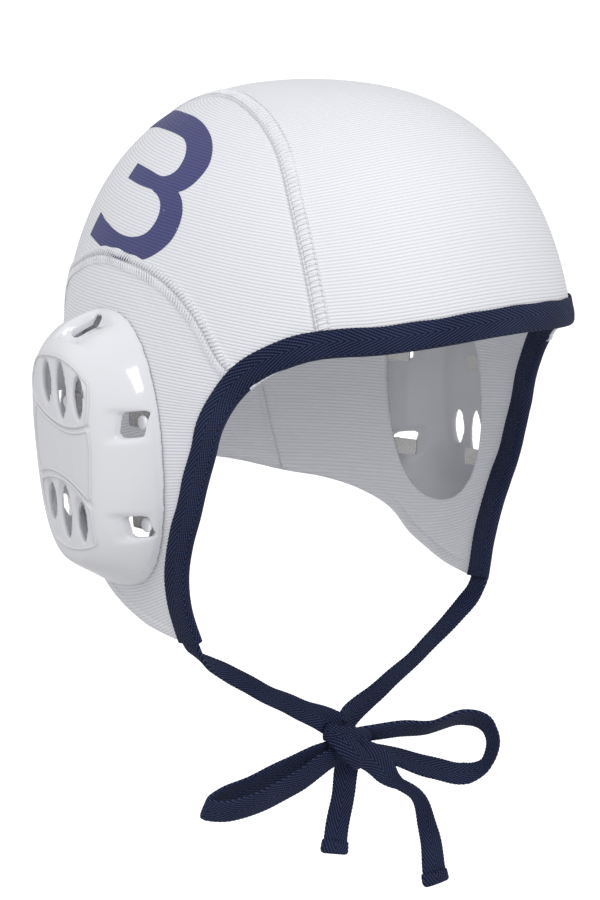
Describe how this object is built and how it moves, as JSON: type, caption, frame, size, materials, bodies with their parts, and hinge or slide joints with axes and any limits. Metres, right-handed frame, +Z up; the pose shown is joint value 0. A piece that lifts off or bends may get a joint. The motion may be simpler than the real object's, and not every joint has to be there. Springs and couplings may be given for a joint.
{
  "type": "water polo cap",
  "caption": "Fabric water polo cap in its worn form, with hard vented ear guards, a taped face edge and ties knotted in a bow under the chin.",
  "frame": {"origin": "inside of the crown's top, where the head carries the cap", "axes": "+Z up along the head, the face looks along -Y, the wearer's right is -X"},
  "size_m": [0.2024, 0.1958, 0.2873],
  "materials": {
    "ribbed_cloth": "fine ribbed swim cloth, matte white",
    "navy_tape": "navy herringbone tape",
    "guard_plastic": "glossy moulded white plastic",
    "white_webbing": "white woven webbing"
  },
  "bodies": {
    "root": {"centre_panel": "ribbed_cloth", "side_panel_right": "ribbed_cloth", "side_panel_left": "ribbed_cloth", "ear_panel_right": "ribbed_cloth", "ear_panel_left": "ribbed_cloth", "face_tape": "navy_tape", "tie_right": "navy_tape", "tie_left": "navy_tape", "bow_knot": "navy_tape", "bow_loop_right": "navy_tape", "bow_loop_left": "navy_tape", "bow_tail_right": "navy_tape", "bow_tail_left": "navy_tape", "ear_guard_right": "guard_plastic", "ear_guard_left": "guard_plastic", "guard_peg_top_right": "guard_plastic", "guard_peg_front_upper_right": "guard_plastic", "guard_peg_front_lower_right": "guard_plastic", "guard_peg_rear_upper_right": "guard_plastic", "guard_peg_rear_lower_right": "guard_plastic", "guard_peg_top_left": "guard_plastic", "guard_peg_front_upper_left": "guard_plastic", "guard_peg_front_lower_left": "guard_plastic", "guard_peg_rear_upper_left": "guard_plastic", "guard_peg_rear_lower_left": "guard_plastic", "guard_tape_front_upper_right": "white_webbing", "guard_tape_front_lower_right": "white_webbing", "guard_tape_rear_upper_right": "white_webbing", "guard_tape_rear_lower_right": "white_webbing", "guard_tape_front_upper_left": "white_webbing", "guard_tape_front_lower_left": "white_webbing", "guard_tape_rear_upper_left": "white_webbing", "guard_tape_rear_lower_left": "white_webbing"}
  },
  "joints": []
}
